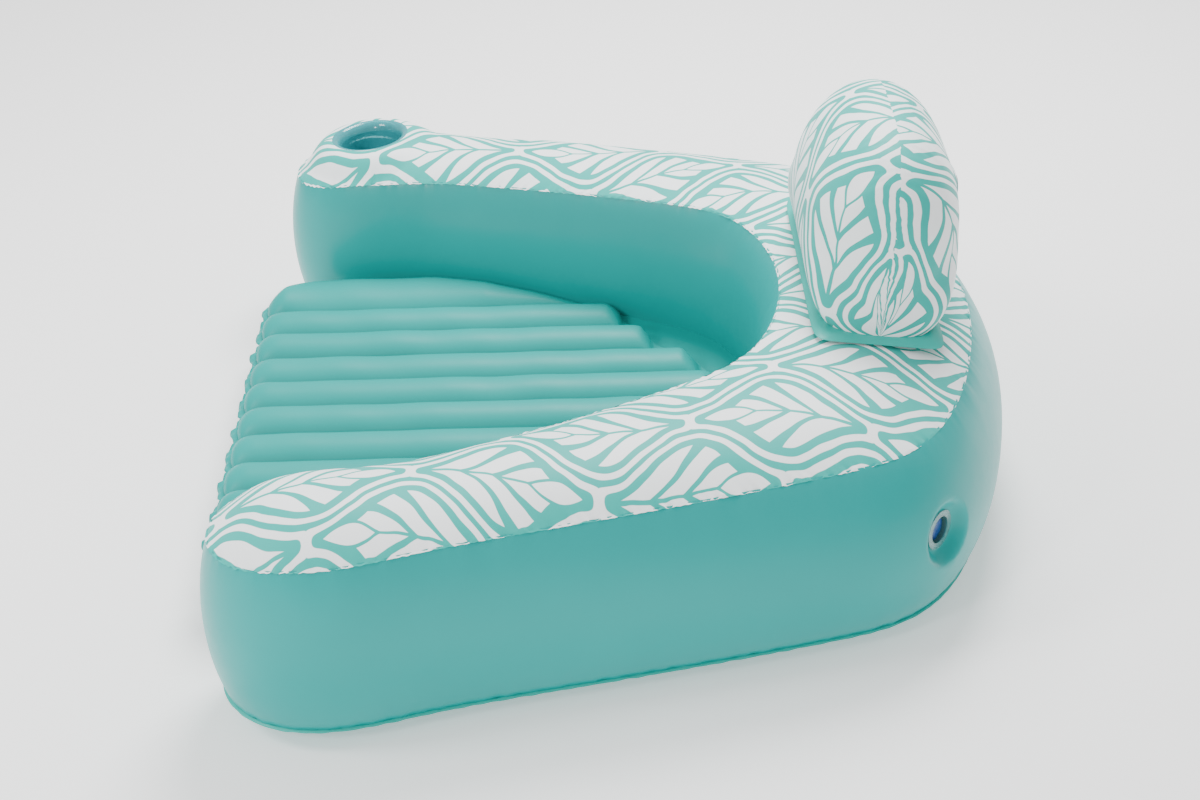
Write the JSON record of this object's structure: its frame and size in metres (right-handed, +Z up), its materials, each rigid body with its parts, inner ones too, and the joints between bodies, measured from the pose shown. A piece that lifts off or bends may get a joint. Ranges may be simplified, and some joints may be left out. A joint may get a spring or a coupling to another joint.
{
  "type": "inflatable pool float",
  "caption": "Inflatable U-shaped lounge float with printed fabric top, ribbed seat mat, upright pillow, cup holder and push-in air valves.",
  "frame": {"origin": "on the floor under the middle of the whole part", "axes": "+X across the float, +Y towards the pillow at the back, +Z up"},
  "size_m": [1.4358, 1.1839, 0.6002],
  "materials": {
    "printed_fabric": "satin polyester printed white on teal, laminated to vinyl",
    "wall_vinyl": "satin soft vinyl sheet",
    "weld_vinyl": "pressed weld in soft vinyl",
    "mat_vinyl": "matt soft vinyl sheet",
    "cup_vinyl": "glossy translucent soft vinyl",
    "valve_clear": "clear soft vinyl moulding",
    "valve_blue": "translucent blue soft moulding"
  },
  "bodies": {
    "float": {"top_panel_right_arm": "printed_fabric", "top_panel_left_arm": "printed_fabric", "top_panel_back": "printed_fabric", "pillow_front_panel": "printed_fabric", "pillow_back_panel": "printed_fabric", "outer_wall": "wall_vinyl", "inner_wall": "wall_vinyl", "bottom_panel": "wall_vinyl", "bottom_weld_flange": "weld_vinyl", "pillow_base_flange": "weld_vinyl", "mat_top_sheet": "mat_vinyl", "mat_bottom_sheet": "mat_vinyl", "mat_rear_web": "mat_vinyl", "mat_front_flange": "mat_vinyl", "cup_rim": "cup_vinyl", "cup_wall": "cup_vinyl", "cup_floor": "cup_vinyl", "main_valve_seat": "valve_clear", "pillow_valve_seat": "valve_clear", "mat_valve_seat": "valve_clear"},
    "main_stem": {"main_valve_stem": "valve_blue", "main_valve_flap": "valve_clear"},
    "main_cap": {"main_valve_cap": "valve_blue"},
    "pillow_stem": {"pillow_valve_stem": "valve_blue", "pillow_valve_flap": "valve_clear"},
    "pillow_cap": {"pillow_valve_cap": "valve_blue"},
    "mat_stem": {"mat_valve_stem": "valve_blue", "mat_valve_flap": "valve_clear"},
    "mat_cap": {"mat_valve_cap": "valve_blue"}
  },
  "joints": [
    {"name": "main_stem_slide", "type": "slide", "parent": "float", "child": "main_stem", "axis": [0.6428, 0.766, 0], "range_m": [0, 0.014]},
    {"name": "main_cap_hinge", "type": "hinge", "parent": "main_stem", "child": "main_cap", "pos_m": [0.44916, 0.43702, 0.1426], "axis": [-0.766, 0.6428, 0], "range_deg": [0, 65]},
    {"name": "pillow_stem_slide", "type": "slide", "parent": "float", "child": "pillow_stem", "axis": [0, 0.9925, -0.1219], "range_m": [0, 0.014]},
    {"name": "pillow_cap_hinge", "type": "hinge", "parent": "pillow_stem", "child": "pillow_cap", "pos_m": [0, 0.50482, 0.43925], "axis": [-1, 0, 0], "range_deg": [0, 65]},
    {"name": "mat_stem_slide", "type": "slide", "parent": "float", "child": "mat_stem", "axis": [0, 0, -1], "range_m": [0, 0.014]},
    {"name": "mat_cap_hinge", "type": "hinge", "parent": "mat_stem", "child": "mat_cap", "pos_m": [0.4004, -0.411, 0.0799], "axis": [0, -1, 0], "range_deg": [0, 65]}
  ]
}
